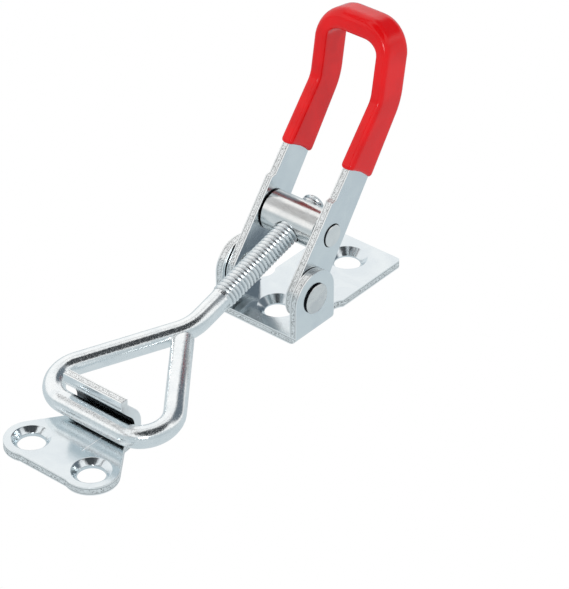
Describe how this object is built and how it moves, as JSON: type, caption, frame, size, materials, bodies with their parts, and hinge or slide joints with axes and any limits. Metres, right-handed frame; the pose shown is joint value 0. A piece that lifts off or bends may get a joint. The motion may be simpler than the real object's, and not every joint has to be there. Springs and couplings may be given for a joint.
{
  "type": "over centre toggle latch",
  "caption": "Over-centre toggle latch: lever with dipped grip on an eared base, threaded hook rod with triangular bail, and a hooked strike plate.",
  "frame": {"origin": "on the mounting face, midway between the base bracket's screw holes", "axes": "+X from the base bracket towards the strike plate, +Y towards the left ear, +Z away from the mounting face"},
  "size_m": [0.1078, 0.0345, 0.0635],
  "materials": {
    "zinc_sheet": "bright zinc-plated pressed sheet with sheared edges",
    "zinc_wire": "bright zinc-plated drawn wire with a rolled thread",
    "turned_steel": "bright zinc-plated turned bar",
    "rivet_steel": "zinc-plated, spun head",
    "grip_plastic": "glossy dipped soft plastic"
  },
  "bodies": {
    "base": {"base_bracket": "zinc_sheet", "pivot_rivet_left": "rivet_steel", "pivot_rivet_right": "rivet_steel"},
    "handle": {"handle": "zinc_sheet", "handle_grip": "grip_plastic"},
    "barrel": {"barrel": "turned_steel"},
    "hook_rod": {"hook_rod": "zinc_wire"},
    "strike": {"strike_plate": "zinc_sheet"}
  },
  "joints": [
    {"name": "handle_pivot", "type": "hinge", "parent": "base", "child": "handle", "pos_m": [0.01325, 0, 0.0094], "axis": [0, -1, 0], "range_deg": [-8, 57]},
    {"name": "barrel_pivot", "type": "hinge", "parent": "handle", "child": "barrel", "pos_m": [0.0051, 0, 0.02054], "axis": [0, -1, 0], "range_deg": [-47.28, 7.07]},
    {"name": "thread_adjust", "type": "slide", "parent": "barrel", "child": "hook_rod", "axis": [0.9657, 0, -0.2597], "range_m": [-0.02, 0.003]},
    {"name": "hook_pivot", "type": "hinge", "parent": "hook_rod", "child": "strike", "pos_m": [0.07085, 0, 0.00505], "axis": [0, -1, 0], "range_deg": [-10.72, 1.93]}
  ],
  "couplings": [
    {"joint": "barrel_pivot", "follows": "handle_pivot", "ratio": -0.82078},
    {"joint": "hook_pivot", "follows": "handle_pivot", "ratio": -0.17922}
  ]
}
